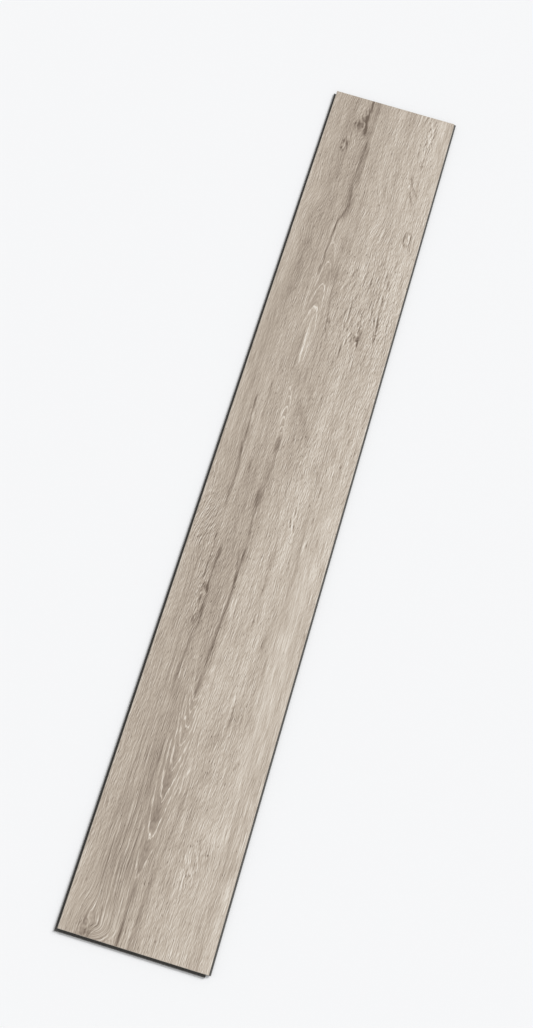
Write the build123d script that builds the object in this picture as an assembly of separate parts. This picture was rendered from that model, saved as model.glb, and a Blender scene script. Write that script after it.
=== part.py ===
from build123d import *
from math import radians, tan
import os

# A floor plank of stone plastic composite: one pressed sheet, sawn to size and milled on its four edges.
# X runs across the plank towards its tongue, Y along it towards its drop-in end, Z up to the decor face.
# The origin is on the underside, midway between the joint lines.

# Decor face from joint line to joint line, and the full thickness
WIDTH = 180.0
LENGTH = 1220.0
THICKNESS = 5.0
EDGE_BEVEL = 0.4

# Free space left between two locked planks
CLEARANCE = 0.05

# Long sides: a tongue at +X, and at -X the slot that takes it, above a lip that ends in a heel
TONGUE_REACH = 2.6
TONGUE_THICKNESS = 1.6
TONGUE_NOSE = 0.7
LIP_REACH = 3.2
LIP_THICKNESS = 1.3
HEEL_HEIGHT = 0.55
HEEL_WIDTH = 1.3

# Short ends: at -Y a lip that ends in a hook, and at +Y the recess that drops over it
END_LIP_REACH = 3.5
END_LIP_THICKNESS = 1.3
HOOK_HEIGHT = 0.9
HOOK_WIDTH = 1.4

# Snap ridge along the +Y end, which clicks into a shallow furrow in the -Y end
RIDGE_RADIUS = 0.6
RIDGE_REACH = 0.2
RIDGE_LEVEL = 3.3

# Lean of the locking faces from the floor, and the rounding of heel and hook
LOCK_ANGLE = 60.0
CATCH_ROUND = 0.25

# How far a tongue or lip is carried into the body behind its joint line
ROOT = 1.0


def catch_lip(reach, thickness, catch_height, catch_width):
    """Section of a lower lip that points to -X from its joint line at x = 0 and ends in a raised catch."""
    foot = reach - catch_width
    shoulder = foot + catch_height / tan(radians(LOCK_ANGLE))
    top = thickness + catch_height
    outline = Polyline(
        (ROOT, 0),
        (-reach, 0),
        (-reach, top),
        (-shoulder, top),
        (-foot, thickness),
        (ROOT, thickness),
        close=True,
    )
    lip = make_face(outline)
    return fillet(lip.vertices().group_by(Axis.Y)[-1], CATCH_ROUND)


def tongue():
    """Section of the tongue, which points to +X from its joint line at x = 0 and has a rounded nose."""
    floor = LIP_THICKNESS + CLEARANCE
    bar = Pos(-ROOT, floor) * Rectangle(
        ROOT + TONGUE_REACH, TONGUE_THICKNESS, align=(Align.MIN, Align.MIN)
    )
    nose_corners = bar.vertices().group_by(Axis.X)[-1]
    return fillet(nose_corners, min(TONGUE_NOSE, 0.45 * TONGUE_THICKNESS))


def sheet(span):
    """Section of the sheet between two joint lines, with both edges of the decor face bevelled."""
    block = Rectangle(span, THICKNESS, align=(Align.CENTER, Align.MIN))
    return chamfer(block.vertices().group_by(Axis.Y)[-1], EDGE_BEVEL)


def long_side_section():
    """Section across the plank: each socket is the other side's tongue or lip, one width away, with clearance."""
    lip = catch_lip(LIP_REACH, LIP_THICKNESS, HEEL_HEIGHT, HEEL_WIDTH)
    tongue_side = Pos(WIDTH / 2, 0)
    groove_side = Pos(-WIDTH / 2, 0)
    section = sheet(WIDTH) + tongue_side * tongue()
    section -= tongue_side * offset(lip, CLEARANCE)
    section -= groove_side * offset(tongue(), CLEARANCE)
    return section + groove_side * lip


def short_end_section():
    """Section along the plank: the +Y end drops over the hooked lip of the -Y end, one length away."""
    lip = catch_lip(END_LIP_REACH, END_LIP_THICKNESS, HOOK_HEIGHT, HOOK_WIDTH)
    drop_in_end = Pos(LENGTH / 2, 0)
    hooked_end = Pos(-LENGTH / 2, 0)
    ridge_centre = Pos(RIDGE_REACH - RIDGE_RADIUS, RIDGE_LEVEL)
    section = sheet(LENGTH) + drop_in_end * ridge_centre * Circle(RIDGE_RADIUS)
    section -= drop_in_end * offset(lip, CLEARANCE)
    section -= hooked_end * ridge_centre * Circle(RIDGE_RADIUS + CLEARANCE)
    return section + hooked_end * lip


def corner_reliefs():
    """Corners trimmed so that four planks meet: the hooked lip clears the tongue, and the heel the drop-in end."""
    tongue_corner = Pos(WIDTH / 2 - LIP_REACH - CLEARANCE, -LENGTH / 2) * Box(
        WIDTH, LENGTH, THICKNESS, align=(Align.MIN, Align.MAX, Align.MIN)
    )
    heel_corner = Pos(-WIDTH / 2, LENGTH / 2 - END_LIP_REACH - CLEARANCE) * Box(
        WIDTH, LENGTH, THICKNESS, align=(Align.MAX, Align.MIN, Align.MIN)
    )
    return tongue_corner + heel_corner


def plank():
    """The milled plank: the long profile run the whole length, then the end profile run across it."""
    long_sides = extrude(Plane.XZ * long_side_section(), LENGTH, both=True)
    short_ends = extrude(Plane.YZ * short_end_section(), WIDTH, both=True)
    return (long_sides & short_ends) - corner_reliefs()


os.makedirs("parts", exist_ok=True)
export_step(plank(), "parts/plank.step")
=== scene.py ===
import bpy
import math
import numpy as np
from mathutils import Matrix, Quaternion, Vector, noise


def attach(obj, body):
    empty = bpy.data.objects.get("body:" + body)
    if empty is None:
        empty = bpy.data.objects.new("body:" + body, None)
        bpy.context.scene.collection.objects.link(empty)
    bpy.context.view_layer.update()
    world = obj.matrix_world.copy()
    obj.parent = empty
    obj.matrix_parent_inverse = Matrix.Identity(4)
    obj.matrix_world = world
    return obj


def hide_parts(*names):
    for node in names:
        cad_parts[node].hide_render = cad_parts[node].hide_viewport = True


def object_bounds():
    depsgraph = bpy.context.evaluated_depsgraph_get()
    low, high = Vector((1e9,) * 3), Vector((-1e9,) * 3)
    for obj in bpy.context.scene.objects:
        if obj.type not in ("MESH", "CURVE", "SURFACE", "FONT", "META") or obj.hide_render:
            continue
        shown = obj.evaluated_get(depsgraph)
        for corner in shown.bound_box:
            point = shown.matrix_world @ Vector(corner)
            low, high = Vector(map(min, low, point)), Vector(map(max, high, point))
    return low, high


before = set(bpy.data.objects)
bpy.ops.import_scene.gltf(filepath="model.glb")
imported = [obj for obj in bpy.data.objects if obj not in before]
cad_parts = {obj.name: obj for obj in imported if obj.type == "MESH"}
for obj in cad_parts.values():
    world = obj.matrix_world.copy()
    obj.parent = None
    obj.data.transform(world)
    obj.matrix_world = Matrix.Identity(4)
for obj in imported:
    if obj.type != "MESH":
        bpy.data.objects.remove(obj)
cad_low, cad_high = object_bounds()


# The board: one pressed sheet of limestone-filled vinyl, sawn to size and milled on its four edges.
# It starts as a merged copy of the solid, and its top is cut into narrow cells that run with the grain.
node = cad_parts["plank"]
board = bpy.data.objects.new("floor_plank", node.data.copy())
board.data.materials.clear()
bpy.context.scene.collection.objects.link(board)
bpy.ops.object.select_all(action="DESELECT")
bpy.context.view_layer.objects.active = board
board.select_set(True)

MERGE_DISTANCE = 1e-6
FLAT_ANGLE = math.radians(0.5)
bpy.ops.object.mode_set(mode="EDIT")
bpy.ops.mesh.select_mode(type="FACE")
bpy.ops.mesh.select_all(action="SELECT")
bpy.ops.mesh.remove_doubles(threshold=MERGE_DISTANCE)
bpy.ops.mesh.dissolve_limited(angle_limit=FLAT_ANGLE)
bpy.ops.mesh.select_all(action="DESELECT")
bpy.ops.object.mode_set(mode="OBJECT")

LEVEL_NORMAL = 0.99
face_level = cad_high.z
for polygon in board.data.polygons:
    on_top = face_level - polygon.center.z < MERGE_DISTANCE
    polygon.select = polygon.normal.z > LEVEL_NORMAL and on_top

COARSE_CUTS = 99
FINE_CUTS = 2
bpy.ops.object.mode_set(mode="EDIT")
bpy.ops.mesh.subdivide(number_cuts=COARSE_CUTS)
bpy.ops.mesh.subdivide(number_cuts=FINE_CUTS)
bpy.ops.mesh.select_all(action="DESELECT")
bpy.ops.object.mode_set(mode="OBJECT")


# The oak print: where its knots, dark streaks and arched growth rings lie, in millimetres on the face.
# The mesh carries the print as point attributes: the bent grain, the stain of the wood, how open and how
# straight the fibres are, and the arches.
MM_PER_METRE = 1000
points = np.empty(len(board.data.vertices) * 3)
board.data.vertices.foreach_get("co", points)
points = points.reshape(-1, 3)
across, along = points[:, 0] * MM_PER_METRE, points[:, 1] * MM_PER_METRE

# Knots and dark eyes: place, half width, half length and depth of the stain, pale where it is below zero
knots = [
    (-42, 563, 6.4, 5.0, 56),
    (-36, 574, 5.0, 6.0, 36),
    (-32, 553, 3.4, 8.0, 46),
    (-44, 560, 10.0, 16.0, 14),
    (-49.5, 560, 1.8, 6.0, 24),
    (-58.8, 528, 1.9, 3.4, 44),
    (-52, 525, 2.6, 4.6, 50),
    (-58.8, 516, 1.6, 3.0, 44),
    (-56, 521, 1.3, 3.0, -30),
    (-55.5, 512, 1.6, 3.0, 30),
    (45, 232, 2.4, 3.6, 60),
    (43.6, 222, 3.0, 3.4, 76),
    (45, 212, 1.6, 4.0, 40),
    (41, 228, 2.0, 5.0, -24),
    (-51, -175, 4.5, 2.6, 34),
    (-46, -180, 1.6, 4.5, 40),
    (-49, -182, 0.9, 2.6, -36),
    (-52.5, -190, 3.5, 6.0, 20),
    (-51, -218, 1.6, 2.6, 40),
    (-58, -598, 11.0, 14.0, 22),
    (-59, -586, 1.3, 1.6, 30),
    (-54, -595, 1.5, 1.8, 42),
    (-61, -595, 1.2, 2.2, 26),
    (-57, -591, 1.1, 2.4, -26),
    (-50, -589, 1.2, 2.6, -30),
    (-63, -603, 3.4, 3.0, 30),
    (-55, -607, 2.4, 3.0, 40),
    (88.5, -202, 1.8, 5.0, 26),
]

# Streaks: half width to the left and to the right, depth of the stain, pale where it is below zero,
# and the line that the streak follows from the far end to the near end
streaks = [
    (1.7, 1.4, 46, [(-32.3, 625), (-33.5, 594), (-34.8, 582), (-34.6, 570), (-32.4, 560), (-32, 545)]),
    (4.0, 3.0, 18, [(-32.3, 625), (-33.5, 594), (-36, 572), (-34, 558), (-31, 540)]),
    (0.9, 0.9, -74, [(-41.5, 573), (-37.5, 568.5), (-35.8, 563), (-36.4, 559), (-38.2, 552)]),
    (5.0, 0.9, 24, [(-22.3, 625), (-21.8, 596), (-22.6, 577), (-23, 552), (-23.2, 538)]),
    (0.8, 0.8, -18, [(-18.5, 612), (-18.5, 560), (-17, 480)]),
    (0.8, 0.8, -26, [(-53, 548), (-55.2, 540), (-54, 532)]),
    (0.9, 0.9, 28, [(-50.5, 522), (-50, 506)]),
    (12.0, 1.5, 22, [(-21, 550), (-19.5, 520), (-19.5, 480), (-18, 440), (-18.5, 412), (-26, 392)]),
    (1.5, 1.3, 38, [(-23.5, 545), (-25.5, 523), (-25.6, 500), (-27, 472), (-23.5, 440), (-22.5, 422)]),
    (3.0, 2.4, 26, [(-29, 470), (-26, 440), (-23, 415), (-27, 400)]),
    (1.3, 1.0, 60, [(-22.5, 428), (-26, 410), (-31, 392), (-32.5, 370), (-33, 345), (-34, 300)]),
    (2.5, 2.5, 10, [(-52, 510), (-52, 450)]),
    (6.0, 6.0, 8, [(-64, 360), (-64, 255)]),
    (7.0, 5.0, 20, [(-16, 345), (-15, 285)]),
    (1.4, 1.4, 20, [(-9, 335), (-9, 300), (-7, 260), (-3, 240), (-4, 200)]),
    (1.2, 1.2, 14, [(-33, 305), (-36, 250), (-37, 165)]),
    (1.0, 1.0, 12, [(-12, 260), (-11, 200), (-8, 130)]),
    (0.8, 0.8, -40, [(-24, 242), (-24.6, 218), (-24.4, 195)]),
    (1.2, 1.2, -50, [(-24.4, 216), (-23.8, 185), (-22.6, 158)]),
    (0.9, 0.9, 16, [(-28, 232), (-28.5, 180), (-26, 130)]),
    (4.0, 4.0, -9, [(-38, 165), (-38, 30)]),
    (5.0, 5.0, 13, [(-21, 165), (-16, 135), (-3, 98), (12, 72), (20, 45)]),
    (3.0, 1.3, 42, [(-15.8, 60), (-16, 22)]),
    (6.0, 1.0, 20, [(-14.6, 58), (-15, 0), (-17, -64)]),
    (0.9, 0.9, 24, [(-14.2, 52), (-14.6, 10), (-15.4, -24)]),
    (1.3, 1.1, 44, [(-62, 106), (-62, 66)]),
    (1.0, 0.9, 26, [(-62, 78), (-60.5, 54), (-60.5, 33), (-62, 22)]),
    (1.3, 1.1, 42, [(-62, 32), (-59, 8), (-57, -6)]),
    (1.0, 0.9, 36, [(-57, 4), (-57, -35), (-58, -70)]),
    (3.5, 2.5, 14, [(-63, 95), (-61, 30), (-58, 0), (-58, -60)]),
    (0.8, 0.8, -20, [(-59.5, 96), (-58, 40), (-57, 12)]),
    (1.0, 1.0, 22, [(-48.6, 125), (-47, 60)]),
    (1.6, 1.6, 28, [(-43.5, 14), (-43, -14)]),
    (1.9, 1.7, 26, [(-21, -18), (-21.5, -40), (-20, -70)]),
    (1.3, 1.3, 32, [(-20, -58), (-16, -95), (-15.5, -134)]),
    (1.0, 1.0, 26, [(-23, -112), (-20, -136), (-16, -160)]),
    (1.9, 1.1, 42, [(-15, -112), (-16, -159), (-15.6, -175), (-16.5, -204)]),
    (1.9, 1.2, 36, [(-16.3, -196), (-18, -225), (-19, -262)]),
    (2.6, 1.6, 26, [(-18.8, -250), (-20, -285), (-21, -322)]),
    (4.0, 3.0, 12, [(-16, -150), (-18, -230), (-20, -320)]),
    (0.8, 0.8, -20, [(-18.5, -150), (-20.5, -230), (-22.5, -300)]),
    (0.8, 0.8, -22, [(-13, -140), (-12, -175), (-8.8, -212)]),
    (0.8, 0.8, -22, [(-6, -132), (-6.5, -176), (-8.8, -212)]),
    (1.0, 1.0, -30, [(-3, -396), (-7, -424), (-10, -440)]),
    (1.0, 1.0, -32, [(-4, -440), (-6, -460), (-8, -478)]),
    (0.9, 0.9, -24, [(1, -384), (-1, -410), (-3, -432)]),
    (1.0, 1.0, 48, [(-57, -90), (-56, -125), (-55.6, -141), (-56, -160), (-61, -174)]),
    (1.1, 1.1, 52, [(-45.6, -105), (-46.8, -140), (-48, -155), (-47, -169), (-45, -186)]),
    (1.8, 1.4, 50, [(-45.5, -184), (-45, -206), (-43.8, -219), (-45, -236)]),
    (1.8, 1.4, 24, [(-45, -230), (-48, -255), (-51, -318)]),
    (1.0, 1.0, 24, [(-52, -180), (-56, -184), (-62, -192)]),
    (7.0, 7.0, 9, [(-49, -110), (-48, -330)]),
    (9.0, 9.0, 7, [(-42, -290), (-42, -600)]),
    (1.3, 1.3, 18, [(21, -84), (21, -220)]),
    (4.0, 4.0, 8, [(34, -124), (33, -220)]),
    (1.0, 1.0, 26, [(26, -280), (28.5, -303), (29.3, -330), (27.5, -350), (26, -382)]),
    (2.0, 1.8, 38, [(29, -308), (29, -338)]),
    (0.8, 0.8, -20, [(25, -278), (27, -303), (27.2, -325)]),
    (8.0, 8.0, 8, [(21, -315), (21, -510)]),
    (6.0, 6.0, 18, [(-21, -383), (-21, -477)]),
    (5.0, 5.0, 20, [(-21, -486), (-20, -532)]),
    (5.0, 5.0, 12, [(-21, -530), (-21, -625)]),
    (1.0, 1.0, 30, [(-20, -525), (-20.3, -625)]),
    (0.8, 0.8, -24, [(-22, -585), (-30, -598), (-42, -612)]),
    (2.0, 2.0, 20, [(4, -409), (1, -480), (-4, -540), (-7, -625)]),
    (1.0, 1.0, 18, [(-41, -394), (-40, -500), (-37, -576)]),
    (1.0, 1.0, 16, [(-33, -320), (-33, -380)]),
    (0.9, 0.9, 14, [(-48, -380), (-47, -500)]),
    (1.6, 1.6, -10, [(35, 474), (36, 420), (34, 362)]),
    (3.0, 3.0, 10, [(30, 625), (31, 560)]),
    (3.0, 3.0, -12, [(64, 612), (60, 560), (58, 530)]),
    (0.9, 0.9, 34, [(59.5, 304), (62, 288), (63.5, 268), (66, 246), (66.5, 226)]),
    (0.9, 0.9, 26, [(22.6, 284), (23.5, 255), (24.4, 228)]),
    (0.9, 0.9, 24, [(18, 334), (14, 312), (12, 296)]),
    (0.9, 0.9, 24, [(25.4, 214), (25.2, 190), (25.4, 172)]),
    (0.9, 0.9, 22, [(39.8, 334), (39.4, 312), (38.6, 294)]),
    (1.3, 1.1, 74, [(51, 507), (53.5, 492), (58.5, 480), (66.5, 466)]),
    (1.0, 1.0, -32, [(48.5, 498), (51, 486), (55.5, 474), (63.5, 460)]),
    (1.2, 1.0, 54, [(53, 484), (58, 466), (65, 450)]),
    (6.0, 5.0, -14, [(84, -400), (84, -540)]),
]

# Open pores: place, half length, lean and depth of the dark slits that stand out one by one
slits = [
    (61.4, 548, 5, 0, 40), (61.5, 534, 4, 0, 56), (61, 522, 4, 0, 52), (51.7, 540, 8, 0, 46),
    (66.4, 578, 9, 0.2, 42),
    (66, 470.5, 3, -0.5, 80), (69.5, 442, 9, -0.1, 34), (66.4, 398, 7, 0, 56), (75, 396, 9, 0, 42),
    (66.4, 352, 9, 0.1, 44), (48.5, 321, 6, 0.1, 48), (63.1, 316, 7, 0, 80), (66.6, 311, 3, 0, 56),
    (39.5, 313, 8, 0, 56), (18.1, 300, 9, 0.25, 40), (6.5, 294, 6, 0.3, 46), (56, 289, 13, 0, 36),
    (62.4, 288, 7, 0, 54), (69.6, 287, 6, 0, 44), (23.4, 262, 13, 0, 46), (16.6, 258, 5, 0, 36),
    (35.3, 265, 6, 0, 44), (59, 255, 5, -0.25, 76), (64, 252, 13, -0.1, 66), (40.5, 254, 7, 0.1, 34),
    (38.6, 244, 4, 0, 54), (0.2, 236, 4, -0.1, 50), (-3.2, 238, 4, 0, 54), (11, 238, 6, 0, 44),
    (26.8, 232, 3, 0, 70), (33.5, 226, 4, 0.15, 84), (38.8, 223, 3, 0, 52), (35.3, 217, 3, 0.2, 84),
    (45.5, 213, 4, 0, 58), (63.8, 232, 7, -0.1, 54), (-1.4, 222, 4, -0.2, 52), (25.3, 198, 10, 0, 60),
    (-1.7, 198, 8, 0, 38), (59.4, 198, 5, 0, 34), (72.2, 71, 4, 0, 56), (47, 31, 3, 0, 36),
    (46, 6, 4, -0.2, 36),
    (25, -15, 10, 0.1, -30), (29, -60, 5, -0.2, 74), (35.3, -66, 5, -0.2, 70), (57.3, -85, 4, 0.1, 70),
    (-76, -110, 8, 0.25, 34), (-68.4, -138, 8, 0.2, 34), (-4.7, -195, 4, 0.1, 40), (39.6, -226, 4, 0, 52),
    (51, -380, 6, 0.3, 42), (31, -492, 7, -0.35, -34), (36, -487, 6, -0.35, -32), (28, -500, 7, -0.4, -30),
    (34, -506, 7, -0.4, -32), (39, -513, 6, -0.35, -28), (41, -497, 6, -0.4, -28), (26, -514, 6, -0.3, -24),
    (33, -496, 6, -0.4, 36), (37, -500, 6, -0.4, 34), (30, -508, 6, -0.4, 32), (38, -478, 5, -0.4, 30),
    (60, 594, 9, -0.4, -30), (62, 590, 9, 0.4, -30), (60, 571, 9, -0.35, -26), (63, 574, 9, 0.35, -26),
    (52, 600, 8, 0.3, -26), (66, 556, 8, -0.2, -26), (61.5, 580, 5, 0, 66), (58.5, 588, 5, 0.3, 60),
    (65.5, 588, 6, 0.1, 60), (63, 600, 5, 0.3, 56), (58, 562, 6, 0.2, 60), (49.5, 604, 7, 0.2, 50),
    (13.4, 246, 4, 0.1, 50), (28.6, 246, 7, 0.1, 54), (21.4, 236, 5, -0.1, 50), (31.2, 240, 4, 0.2, 56),
    (29.8, 214, 4, 0, 60), (42.4, 238, 5, 0.1, 50), (1.8, 212, 4, 0.1, 50), (52.6, 268, 6, -0.1, 50),
    (47.4, 276, 5, 0.1, 46), (58.4, 330, 6, 0.1, 48), (46.2, 346, 5, 0.1, 44), (30.4, 318, 6, 0.15, 46),
    (12.6, 318, 5, 0.2, 44), (65.6, 226, 6, 0, 60), (20.4, 176, 6, 0, 40), (47.8, 178, 6, 0, 40),
    (38.4, 52, 5, 0.1, 44), (43.6, 16, 4, 0.1, 50), (54.2, -6, 4, 0, 44), (56.4, -50, 5, 0.1, 48),
    (31.6, -44, 5, -0.1, 50), (26.8, 4, 4, 0, 44), (71.4, 32, 4, 0, 46), (66.2, 92, 4, 0, 40),
]

# Oval eyes: place, half width, half length and depth of small closed rings, dark outside and pale inside
eyes = [
    (70.5, 396, 5.6, 12.0, 34),
    (69.5, 394, 2.4, 7.0, 30),
    (-56, 522, 4.6, 9.0, 24),
    (-51, -218, 3.0, 5.5, 28),
    (43.5, 226, 4.0, 9.0, 20),
]

# Rough spots: patches with deep open grain, by place, half size and strength,
# calmer where it is below zero
rough_spots = [
    (36, 280, 36, 95, 0.16),
    (76, 260, 14, 90, 0.22),
    (62, 575, 10, 40, 0.2),
    (82, 570, 10, 60, -0.2),
    (-76, 450, 16, 80, -0.06),
    (-80, 190, 16, 190, -0.22),
    (30, 10, 26, 70, 0.1),
    (-74, -85, 16, 45, 0.35),
    (-55, -190, 10, 40, 0.4),
    (62, -180, 18, 150, -0.16),
    (80, -400, 22, 230, -0.17),
    (36, -495, 10, 32, 0.15),
    (-80, -575, 14, 50, -0.16),
    (-60, -598, 9, 12, 0.55),
]

# Lined spots: patches where long even fibres stand out, by place, half size and strength
lined_spots = [
    (-40, -470, 34, 170, 1.0),
    (-44, -570, 20, 50, 0.8),
    (-30, 290, 20, 120, 0.8),
    (-58, 60, 14, 90, 0.6),
    (-8, 180, 14, 60, 0.5),
    (-64, -240, 20, 90, 0.5),
]

# Leaning grain: patches where the fibres slant, by place, half size and run across for each run along
slants = [
    (-74, 415, 20, 40, 0.20),
    (25, 458, 18, 32, -0.15),
    (33, 388, 18, 32, 0.20),
    (-76, -85, 20, 50, 0.22),
    (42, -495, 14, 35, -0.20),
    (-68, -570, 12, 26, 0.20),
]


def follow(line):
    """Place across the face, at each point, of a line given from the far end to the near end."""
    xs, ys = zip(*reversed(line))
    return np.interp(along, ys, xs)


def faded(line, fade):
    """One along the line, falling to nothing over a stretch at both of its ends."""
    far, near = line[0][1], line[-1][1]
    return np.clip((far - along) / fade, 0, 1) * np.clip((along - near) / fade, 0, 1)


# The grain sways a little, parts round the knots and slants where the fibres lean
LONG_SWAY, SHORT_SWAY = 1.5, 0.5
KNOT_PUSH = 0.5
PUSH_ACROSS, PUSH_ALONG = 3, 4
long_wave = np.sin(along / 83 + across / 40)
short_wave = np.sin(along / 27 - across / 23 + 1)
bent = across + LONG_SWAY * long_wave + SHORT_SWAY * short_wave
for knot_x, knot_y, half_width, half_length, depth in knots:
    side = (across - knot_x) / half_width
    reach = np.exp(-(side / PUSH_ACROSS) ** 2 - ((along - knot_y) / (PUSH_ALONG * half_length)) ** 2)
    bent -= KNOT_PUSH * half_width * np.tanh(side) * reach
for slant_x, slant_y, half_width, half_length, lean in slants:
    reach = np.exp(-((across - slant_x) / half_width) ** 2 - ((along - slant_y) / half_length) ** 2)
    bent -= lean * (along - slant_y) * reach

# Round the corner knot the fibres come down its right side and hook to the left under it
HOOK_X, HOOK_Y = -57, -592
STRETCH_ABOVE, STRETCH_BELOW = 8, 0.75
HOOK_SIDE_FADE = 8
HOOK_SIZE, HOOK_SIZE_FADE = 38, 10
HOOK_START, HOOK_START_FADE = -500, 50
hook_x, hook_y = across - HOOK_X, along - HOOK_Y
hook = np.hypot(hook_x, hook_y / np.where(hook_y > 0, STRETCH_ABOVE, STRETCH_BELOW))
hooked = np.clip(hook_x / HOOK_SIDE_FADE, 0, 1)
hooked *= np.clip((HOOK_SIZE - hook) / HOOK_SIZE_FADE, 0, 1)
hooked *= np.clip((HOOK_START - along) / HOOK_START_FADE, 0, 1)
bent += hooked * (hook - hook_x)

# Marks have torn edges: the noise that shifts them runs with the grain
TEAR_ACROSS, TEAR_ALONG, TEAR_LAYER = 0.45, 0.06, 7
TEAR_SHIFT = 1.6
torn = np.array([
    noise.noise(Vector((x * TEAR_ACROSS, y * TEAR_ALONG, TEAR_LAYER)))
    for x, y in zip(bent, along)
])
wander = across + TEAR_SHIFT * torn

# The plain wood is paler towards the right, darker over a broad heart, and pale at the left border
SIDE_LIFT = 0.1
HEART_DEPTH, HEART_X, HEART_WIDTH = 8, -35, 36
BORDER_LIFT, BORDER_X, BORDER_WIDTH = 12, -92, 8
heart = np.exp(-((across - HEART_X) / HEART_WIDTH) ** 2)
border = np.exp(-((across - BORDER_X) / BORDER_WIDTH) ** 2)
stain = SIDE_LIFT * across - HEART_DEPTH * heart + BORDER_LIFT * border

# Streaks, knots, pores and eyes darken it, and each streak gains and loses strength along its line
STREAK_FADE = 14
SHORT_BEAT, LONG_BEAT = 0.35, 0.25
for left_width, right_width, depth, line in streaks:
    off_streak = wander - follow(line)
    half_width = np.where(off_streak < 0, left_width, right_width)
    ends = faded(line, min(STREAK_FADE, (line[0][1] - line[-1][1]) / 3))
    beat = 1 + SHORT_BEAT * np.sin(along / 7 + depth) + LONG_BEAT * np.sin(along / 17 + line[0][0])
    stain -= depth * np.exp(-(off_streak / half_width) ** 2) * ends * beat
for knot_x, knot_y, half_width, half_length, depth in knots:
    eye = ((wander - knot_x) / half_width) ** 2 + ((along - knot_y) / half_length) ** 2
    stain -= depth * np.exp(-eye)
SLIT_WIDTH = 1.0
RIM_SHARE, RIM_OFFSET = 0.45, 2
# Each slit has a band of the opposite tone along its left side: painted light beside a dark slit, painted
# shade beside a pale one
for slit_x, slit_y, half_length, lean, depth in slits:
    off_slit = (across - slit_x - lean * (along - slit_y)) / SLIT_WIDTH
    stretch = np.exp(-((along - slit_y) / half_length) ** 2)
    rim = RIM_SHARE * np.exp(-(off_slit + RIM_OFFSET) ** 2)
    stain -= depth * stretch * (np.exp(-off_slit**2) - rim)
OUTLINE_WIDTH = 0.9
EYE_POWER = 1.4
for eye_x, eye_y, half_width, half_length, depth in eyes:
    side, end = np.abs(wander - eye_x) / half_width, np.abs(along - eye_y) / half_length
    from_eye = (side**EYE_POWER + end**EYE_POWER) ** (1 / EYE_POWER)
    outline = (from_eye - 1) * half_width / OUTLINE_WIDTH
    rim = RIM_SHARE * np.exp(-(outline + RIM_OFFSET) ** 2)
    stain -= depth * (np.exp(-outline**2) - rim)

# How open the grain is, and where it runs in long even fibres
PLAIN_OPENNESS = 0.33
openness = np.full_like(across, PLAIN_OPENNESS)
for spot_x, spot_y, half_width, half_length, strength in rough_spots:
    reach = np.exp(-((across - spot_x) / half_width) ** 2 - ((along - spot_y) / half_length) ** 2)
    openness += strength * reach
lined = np.zeros_like(across)
for spot_x, spot_y, half_width, half_length, strength in lined_spots:
    reach = np.exp(-((across - spot_x) / half_width) ** 4 - ((along - spot_y) / half_length) ** 4)
    lined += strength * reach

# Arched rings: crown and strength of each arch, first the wide and the small ones that point to the
# far end, then those that point to the near end
wide_crowns = [(-24, 254, 1.15), (-23, 289, 0.9), (-24.5, 326, 0.75), (-27, 357, 0.6)]
small_crowns = [
    (-17.2, 56, 0.8), (-17.2, 65, 0.7), (-19.7, 80, 0.9),
    (-19.7, 95, 0.9), (-21, 112, 0.7), (-24, 123, 0.7),
]
near_crowns = [
    (-22, -530, 0.7), (-20, -487, 1.0), (-20.8, -440, 1.0), (-19.5, -402, 0.9),
    (-18.5, -373, 0.7), (-18, -350, 0.8), (-19.5, -332, 0.8), (-19.5, -316, 0.8),
]
RIGHT_SQUEEZE = 1.25
SLOPE_STEP = 0.5
ARCH_FADE = 6


def arches(crowns, drop, spread, tear):
    """Count of rings from the first crown, the gap square to the rings, and how much they show."""
    xs, ys, strengths = zip(*crowns)
    off_centre = across - np.interp(along, ys, xs)
    off_centre = np.where(off_centre > 0, RIGHT_SQUEEZE * off_centre, -off_centre)
    level = along + drop(off_centre) + tear * torn
    steepness = (drop(off_centre + SLOPE_STEP) - drop(off_centre)) / SLOPE_STEP
    gap = np.interp(level, ys, np.gradient(np.array(ys, float))) / np.hypot(1, steepness)
    past_first = np.clip((level - ys[0] + ARCH_FADE) / ARCH_FADE, 0, 1)
    before_last = np.clip((ys[-1] + ARCH_FADE - level) / ARCH_FADE, 0, 1)
    show = past_first * before_last * np.interp(level, ys, strengths) * np.exp(-(off_centre / spread) ** 4)
    return np.interp(level, ys, range(len(ys))), gap, show


# The strongest ring at a point is drawn: an arch, or a fold round the corner knot
FOLD_GAP = 4.0
FOLD_STRENGTH, FOLD_START = 0.45, 0.5
fold_show = FOLD_STRENGTH * hooked * np.clip(hook / FOLD_GAP - FOLD_START, 0, 1)
ring_count = np.zeros_like(across)
ring_gap = np.ones_like(across)
ring_show = np.zeros_like(across)
for count, gap, show in (
    arches(wide_crowns, lambda off: 0.3 * off**2 + 0.0006 * off**4, 12, 3),
    arches(small_crowns, lambda off: 0.8 * off**2, 5.5, 3),
    arches(near_crowns, lambda off: -0.6 * off - 0.36 * off**2, 16, 7),
    ((hook + torn) / FOLD_GAP, np.full_like(across, FOLD_GAP), fold_show),
):
    stronger = show > ring_show
    ring_count = np.where(stronger, count, ring_count)
    ring_gap = np.where(stronger, gap, ring_gap)
    ring_show = np.maximum(show, ring_show)

# Rings stand out because the other grain is calmer round them, and long even fibres are less open
RINGS_CALM_LINES = 0.85
RINGS_CALM_PORES = 0.6
LINES_CALM_PORES = 0.45
lined *= 1 - RINGS_CALM_LINES * np.clip(ring_show, 0, 1)
openness *= 1 - RINGS_CALM_PORES * np.clip(ring_show, 0, 1)
openness *= 1 - LINES_CALM_PORES * np.clip(lined, 0, 1)


def keep(name, kind, field, values):
    """Stores values on the board's points as an attribute that the material reads."""
    layer = board.data.attributes.new(name, kind, "POINT")
    layer.data.foreach_set(field, np.ascontiguousarray(values, dtype=np.float32).ravel())


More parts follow.
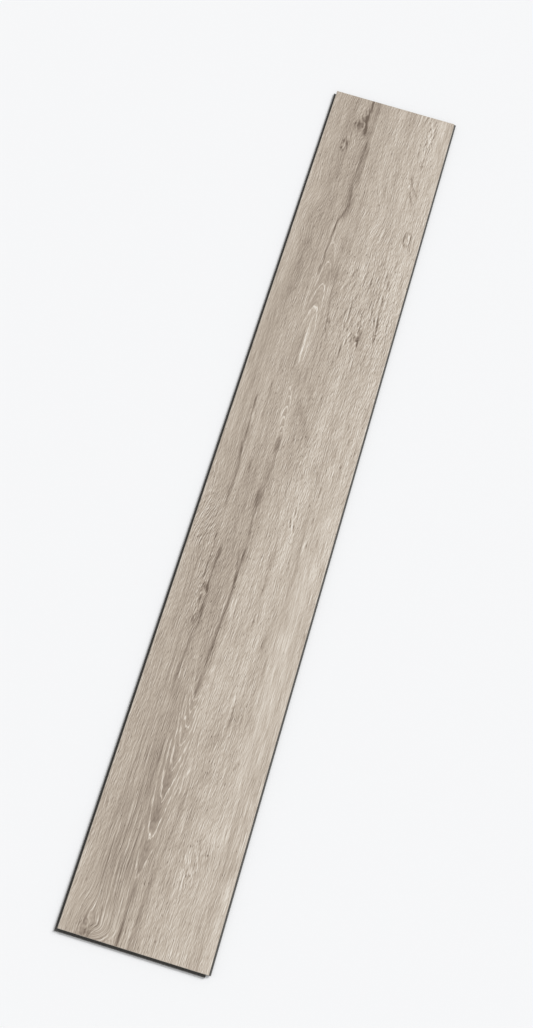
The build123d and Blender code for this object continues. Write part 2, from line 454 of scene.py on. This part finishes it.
FULL_TONE = 255
grain = np.column_stack([bent, along, np.zeros_like(bent)])
keep("grain", "FLOAT_VECTOR", "vector", grain / MM_PER_METRE)
keep("stain", "FLOAT", "value", stain / FULL_TONE)
keep("rough", "FLOAT", "value", openness)
keep("lined", "FLOAT", "value", lined)
keep("ring_count", "FLOAT", "value", ring_count)
keep("ring_gap", "FLOAT", "value", ring_gap)
keep("ring_show", "FLOAT", "value", ring_show)


# Embossing: the press plate sinks fine pores and the dark marks of the print a little into the face.
# Points inside the face's border move down only, so the plank keeps its thickness.
EMBOSS_DEPTH = 0.00016
on_face = points[:, 2] > face_level - MERGE_DISTANCE
border_x = np.abs(points[:, 0]) < points[on_face, 0].max() - MERGE_DISTANCE
border_y = np.abs(points[:, 1]) < points[on_face, 1].max() - MERGE_DISTANCE
inner = np.flatnonzero(on_face & border_x & border_y)
PORE_ACROSS, PORE_ALONG = 0.45, 0.05
STAIN_SINK = 0.012
for index in inner:
    pore = noise.noise(Vector((bent[index] * PORE_ACROSS, along[index] * PORE_ALONG, 0)))
    hollow = max(pore, 0) + STAIN_SINK * max(-stain[index], 0)
    points[index, 2] -= EMBOSS_DEPTH * min(hollow, 1)
board.data.vertices.foreach_set("co", points.ravel())
board.data.update()


# Core finish: dark vinyl filled with limestone, milled bare on the edges and plain on the underside.
# Fine pale mineral specks break up the grey.
CORE_DARK = (0.080, 0.077, 0.071, 1)
CORE_PALE = (0.125, 0.120, 0.111, 1)
core = bpy.data.materials.new("mineral_core")
core.use_nodes = True
core_nodes = core.node_tree.nodes
core_links = core.node_tree.links
core_shader = core_nodes["Principled BSDF"]
core_shader.inputs["Roughness"].default_value = 0.62
core_shader.inputs["Specular IOR Level"].default_value = 0.35
core_place = core_nodes.new("ShaderNodeTexCoord")
specks = core_nodes.new("ShaderNodeTexNoise")
specks.inputs["Scale"].default_value = 900
specks.inputs["Detail"].default_value = 3
core_links.new(core_place.outputs["Object"], specks.inputs["Vector"])
core_tone = core_nodes.new("ShaderNodeValToRGB")
core_tone.color_ramp.elements[0].position = 0.42
core_tone.color_ramp.elements[0].color = CORE_DARK
core_tone.color_ramp.elements[1].position = 0.72
core_tone.color_ramp.elements[1].color = CORE_PALE
core_links.new(specks.outputs["Fac"], core_tone.inputs["Fac"])
core_links.new(core_tone.outputs["Color"], core_shader.inputs["Base Color"])
core_bump = core_nodes.new("ShaderNodeBump")
core_bump.inputs["Strength"].default_value = 0.25
core_bump.inputs["Distance"].default_value = 0.0001
core_links.new(specks.outputs["Fac"], core_bump.inputs["Height"])
core_links.new(core_bump.outputs["Normal"], core_shader.inputs["Normal"])


# Decor finish: a printed oak film under a matt wear layer, pressed in register with the embossing.
# Bands, fibres and pores run on the bent grain, the stain darkens streaks and knots,
# the rings draw the arches, and painted light and shade lie beside the ticks.
decor = bpy.data.materials.new("greige_oak_decor")
decor.use_nodes = True
decor_nodes = decor.node_tree.nodes
decor_links = decor.node_tree.links
decor_shader = decor_nodes["Principled BSDF"]
decor_shader.inputs["Specular IOR Level"].default_value = 0.3


def carried(name, output):
    """Output of a node that reads one of the board's own attributes."""
    reader = decor_nodes.new("ShaderNodeAttribute")
    reader.attribute_name = name
    return reader.outputs[output]


def sum_up(operation, first, second, third=None):
    """Output of a math node on sockets or plain numbers."""
    step = decor_nodes.new("ShaderNodeMath")
    step.operation = operation
    for socket, value in zip(step.inputs, (first, second, third)):
        if isinstance(value, bpy.types.NodeSocket):
            decor_links.new(value, socket)
        elif value is not None:
            socket.default_value = value
    return step.outputs["Value"]


WOBBLE_SCALE = (130, 60, 1)
WOBBLE_SHIFT = (0.0018, 0, 0)
wobble_place = decor_nodes.new("ShaderNodeMapping")
wobble_place.inputs["Scale"].default_value = WOBBLE_SCALE
decor_links.new(carried("grain", "Vector"), wobble_place.inputs["Vector"])
wobble_noise = decor_nodes.new("ShaderNodeTexNoise")
wobble_noise.inputs["Scale"].default_value = 1
decor_links.new(wobble_place.outputs["Vector"], wobble_noise.inputs["Vector"])
wobble = decor_nodes.new("ShaderNodeVectorMath")
wobble.operation = "MULTIPLY_ADD"
wobble.inputs[1].default_value = WOBBLE_SHIFT
decor_links.new(wobble_noise.outputs["Color"], wobble.inputs[0])
decor_links.new(carried("grain", "Vector"), wobble.inputs[2])


def grain_noise(across_mm, along_mm, detail, shift=(0, 0, 0)):
    """Noise centred on zero, whose blotches are about so wide and long on the wobbling grain."""
    place = decor_nodes.new("ShaderNodeMapping")
    place.inputs["Location"].default_value = shift
    place.inputs["Scale"].default_value = (MM_PER_METRE / across_mm, MM_PER_METRE / along_mm, 1)
    decor_links.new(wobble.outputs["Vector"], place.inputs["Vector"])
    cloud = decor_nodes.new("ShaderNodeTexNoise")
    cloud.inputs["Scale"].default_value = 1
    cloud.inputs["Detail"].default_value = detail
    cloud.inputs["Roughness"].default_value = 0.55
    decor_links.new(place.outputs["Vector"], cloud.inputs["Vector"])
    return sum_up("SUBTRACT", cloud.outputs["Fac"], 0.5)


bands = grain_noise(22, 500, 2)
lines = grain_noise(4.0, 130, 3, (0, 0, 4))
fibres = grain_noise(0.9, 34, 2, (0, 0, 9))
ticks = grain_noise(1.4, 9, 1, (0, 0, 14))
# The ticks and a copy shifted a little sideways set where painted light and painted shade fall on either
# side of each tick
ticks_lit = grain_noise(1.4, 9, 1, (0.4, -0.1, 14))
pores = grain_noise(1.6, 7, 1, (0, 0, 21))
threads = sum_up("MULTIPLY", grain_noise(1.0, 110, 1, (0, 0, 33)), carried("lined", "Fac"))

# Relief: painted light and painted shade on either side of short ticks, and deep pores, both where the
# grain is open
PORE_CUT = 0.16
open_grain = carried("rough", "Fac")
painted_tick_light_and_shade = sum_up("MULTIPLY", sum_up("SUBTRACT", ticks, ticks_lit), open_grain)
deep_pores = sum_up("MINIMUM", sum_up("ADD", pores, PORE_CUT), 0.0)
pits = sum_up("MULTIPLY", deep_pores, open_grain)

# Rings: a broken pale line on each whole count with a faint shade beside it, and finer rings between
RAGGED_MM = 3.5
LINE_FALL, LINE_SHADE = -0.9, -0.2
LINE_BREAKS = 1.3
FINE_RING_TURN = 25.1
FINE_RING_ROOM = 0.1
RING_CALM = -0.7
ragged = grain_noise(2.6, 14, 1, (0, 0, 27))
off_ring = sum_up("PINGPONG", carried("ring_count", "Fac"), 0.5)
off_ring_mm = sum_up("MULTIPLY", off_ring, carried("ring_gap", "Fac"))
off_line = sum_up("ABSOLUTE", sum_up("MULTIPLY_ADD", ragged, RAGGED_MM, off_ring_mm), 0.0)
line_fall = sum_up("MAXIMUM", sum_up("MULTIPLY_ADD", off_line, LINE_FALL, 1.0), LINE_SHADE)
broken = sum_up("MULTIPLY_ADD", ticks, LINE_BREAKS, 1.0)
pale_line = sum_up("MULTIPLY", sum_up("MULTIPLY", line_fall, broken), carried("ring_show", "Fac"))
fine_rings = sum_up("SINE", sum_up("MULTIPLY", carried("ring_count", "Fac"), FINE_RING_TURN), 0.0)
fine_room = sum_up("MINIMUM", sum_up("MULTIPLY", carried("ring_gap", "Fac"), FINE_RING_ROOM), 1.0)
fine_line = sum_up("MULTIPLY", sum_up("MULTIPLY", fine_rings, fine_room), carried("ring_show", "Fac"))
calm = sum_up("MULTIPLY_ADD", carried("ring_show", "Fac"), RING_CALM, 1.0)
calm_fibres = sum_up("MULTIPLY", fibres, calm)

# Tone: the stain, broken up by the fibres, and each layer of the grain and of the painted light and shade
# by its weight, on the plain tone
PLAIN_TONE = 0.692
STREAKINESS = 1.6
layers = [
    (bands, 0.24),
    (lines, 0.16),
    (calm_fibres, 0.46),
    (threads, 0.62),
    (painted_tick_light_and_shade, 1.4),
    (pits, 6.6),
    (pale_line, 0.20),
    (fine_line, 0.03),
]
fibre_part = sum_up("MULTIPLY_ADD", calm_fibres, STREAKINESS, 1.0)
streaky = sum_up("MULTIPLY_ADD", lines, STREAKINESS, fibre_part)
tone = sum_up("MULTIPLY", carried("stain", "Fac"), streaky)
for layer, weight in layers:
    tone = sum_up("MULTIPLY_ADD", layer, weight, tone)
tone = sum_up("ADD", tone, PLAIN_TONE)

# Inks from dark heartwood to pale sapwood, each at the lightness that it has in print
INKS = [
    (0.37, (0.147, 0.110, 0.082, 1)),
    (0.52, (0.278, 0.224, 0.180, 1)),
    (0.625, (0.408, 0.342, 0.278, 1)),
    (0.70, (0.509, 0.439, 0.363, 1)),
    (0.76, (0.597, 0.527, 0.451, 1)),
    (0.81, (0.672, 0.610, 0.530, 1)),
    (0.88, (0.799, 0.745, 0.672, 1)),
]
ink = decor_nodes.new("ShaderNodeValToRGB")
while len(ink.color_ramp.elements) < len(INKS):
    ink.color_ramp.elements.new(0.5)
for stop, (position, colour) in zip(ink.color_ramp.elements, INKS):
    stop.position = position
    stop.color = colour
decor_links.new(tone, ink.inputs["Fac"])
decor_links.new(ink.outputs["Color"], decor_shader.inputs["Base Color"])

# Wear layer: matt, a little glossier where the print is pale, and dented by the ticks and pores
MATT, PALE_GLOSS = 0.78, -0.2
PIT_DENT = 3.0
shine = sum_up("MULTIPLY_ADD", tone, PALE_GLOSS, MATT)
decor_links.new(shine, decor_shader.inputs["Roughness"])
decor_bump = decor_nodes.new("ShaderNodeBump")
decor_bump.inputs["Strength"].default_value = 0.5
decor_bump.inputs["Distance"].default_value = 0.00025
decor_links.new(sum_up("MULTIPLY_ADD", pits, PIT_DENT, ticks), decor_bump.inputs["Height"])
decor_links.new(decor_bump.outputs["Normal"], decor_shader.inputs["Normal"])


# Bevel finish: the small sloped edge round the decor, painted in the tone of the print.
# A faint grain along the plank keeps it from reading as a plain stripe.
BEVEL_DARK = (0.46, 0.40, 0.33, 1)
BEVEL_PALE = (0.66, 0.60, 0.53, 1)
bevel = bpy.data.materials.new("painted_bevel")
bevel.use_nodes = True
bevel_nodes = bevel.node_tree.nodes
bevel_links = bevel.node_tree.links
bevel_shader = bevel_nodes["Principled BSDF"]
bevel_shader.inputs["Roughness"].default_value = 0.55
bevel_shader.inputs["Specular IOR Level"].default_value = 0.3
bevel_place = bevel_nodes.new("ShaderNodeTexCoord")
bevel_stretch = bevel_nodes.new("ShaderNodeMapping")
bevel_stretch.inputs["Scale"].default_value = (500, 30, 1)
bevel_links.new(bevel_place.outputs["Object"], bevel_stretch.inputs["Vector"])
bevel_grain = bevel_nodes.new("ShaderNodeTexNoise")
bevel_grain.inputs["Scale"].default_value = 1
bevel_links.new(bevel_stretch.outputs["Vector"], bevel_grain.inputs["Vector"])
bevel_tone = bevel_nodes.new("ShaderNodeValToRGB")
bevel_tone.color_ramp.elements[0].position = 0.3
bevel_tone.color_ramp.elements[0].color = BEVEL_DARK
bevel_tone.color_ramp.elements[1].position = 0.7
bevel_tone.color_ramp.elements[1].color = BEVEL_PALE
bevel_links.new(bevel_grain.outputs["Fac"], bevel_tone.inputs["Fac"])
bevel_links.new(bevel_tone.outputs["Color"], bevel_shader.inputs["Base Color"])

board.data.materials.append(core)
board.data.materials.append(decor)
board.data.materials.append(bevel)
FACE_ROOM, FACE_NORMAL = 0.00019, 0.9
BEVEL_ROOM, BEVEL_NORMAL = 0.00045, 0.5
for polygon in board.data.polygons:
    polygon.use_smooth = False
    below_face = face_level - polygon.center.z
    if polygon.normal.z > FACE_NORMAL and below_face < FACE_ROOM:
        polygon.material_index = 1
    elif polygon.normal.z > BEVEL_NORMAL and below_face < BEVEL_ROOM:
        polygon.material_index = 2
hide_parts("plank")
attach(board, "root")


# Floor: a wide matt studio floor in a plain pale paint.
# It lies just under the plank and takes its soft shadow.
FLOOR_GAP = 0.0002
FLOOR_SIZE = 30.0
bpy.ops.object.select_all(action="DESELECT")
bpy.ops.mesh.primitive_plane_add(size=FLOOR_SIZE, location=(0, 0, cad_low.z - FLOOR_GAP))
floor = bpy.context.object
floor.name = "studio_floor"
floor_finish = bpy.data.materials.new("pale_floor")
floor_finish.use_nodes = True
floor_shader = floor_finish.node_tree.nodes["Principled BSDF"]
floor_shader.inputs["Base Color"].default_value = (0.90, 0.905, 0.915, 1)
floor_shader.inputs["Roughness"].default_value = 0.8
floor_shader.inputs["Specular IOR Level"].default_value = 0.1
floor.data.materials.append(floor_finish)


# Light: a bright even room, and a broad soft lamp from beyond the far right.
# The lamp lays the shadow near and left of the plank.
ROOM_STRENGTH = 0.58
LAMP_STRENGTH = 2.45
LAMP_WIDTH = math.radians(24)
lamp_from = Vector((0.85, 0.95, 0.90))
room = bpy.data.worlds.new("studio_room")
room.use_nodes = True
room.node_tree.nodes["Background"].inputs["Color"].default_value = (1, 1, 1, 1)
room.node_tree.nodes["Background"].inputs["Strength"].default_value = ROOM_STRENGTH
bpy.context.scene.world = room
bpy.ops.object.light_add(type="SUN", location=lamp_from)
lamp = bpy.context.object
lamp.name = "broad_lamp"
lamp.data.energy = LAMP_STRENGTH
lamp.data.angle = LAMP_WIDTH
lamp.rotation_mode = "QUATERNION"
lamp.rotation_quaternion = (-lamp_from).to_track_quat("-Z", "Y")


# Camera: above the near half of the plank, looking down on it.
# It has a small turn about its own line of sight.
SENSOR_WIDTH = 36.0
LENS = 42.08
ROLL = math.radians(11.06)
camera_place = Vector((0.0507, -0.5800, 1.4617))
camera_aim = Vector((-0.0033, -0.0586, 0.0050))
bpy.ops.object.camera_add(location=camera_place)
camera = bpy.context.object
camera.name = "photo_camera"
camera.data.sensor_width = SENSOR_WIDTH
camera.data.lens = LENS
camera.rotation_mode = "QUATERNION"
straight = (camera_aim - camera_place).to_track_quat("-Z", "Y")
camera.rotation_quaternion = straight @ Quaternion((0, 0, 1), ROLL)
bpy.context.scene.camera = camera
bpy.context.scene.view_settings.view_transform = "Standard"
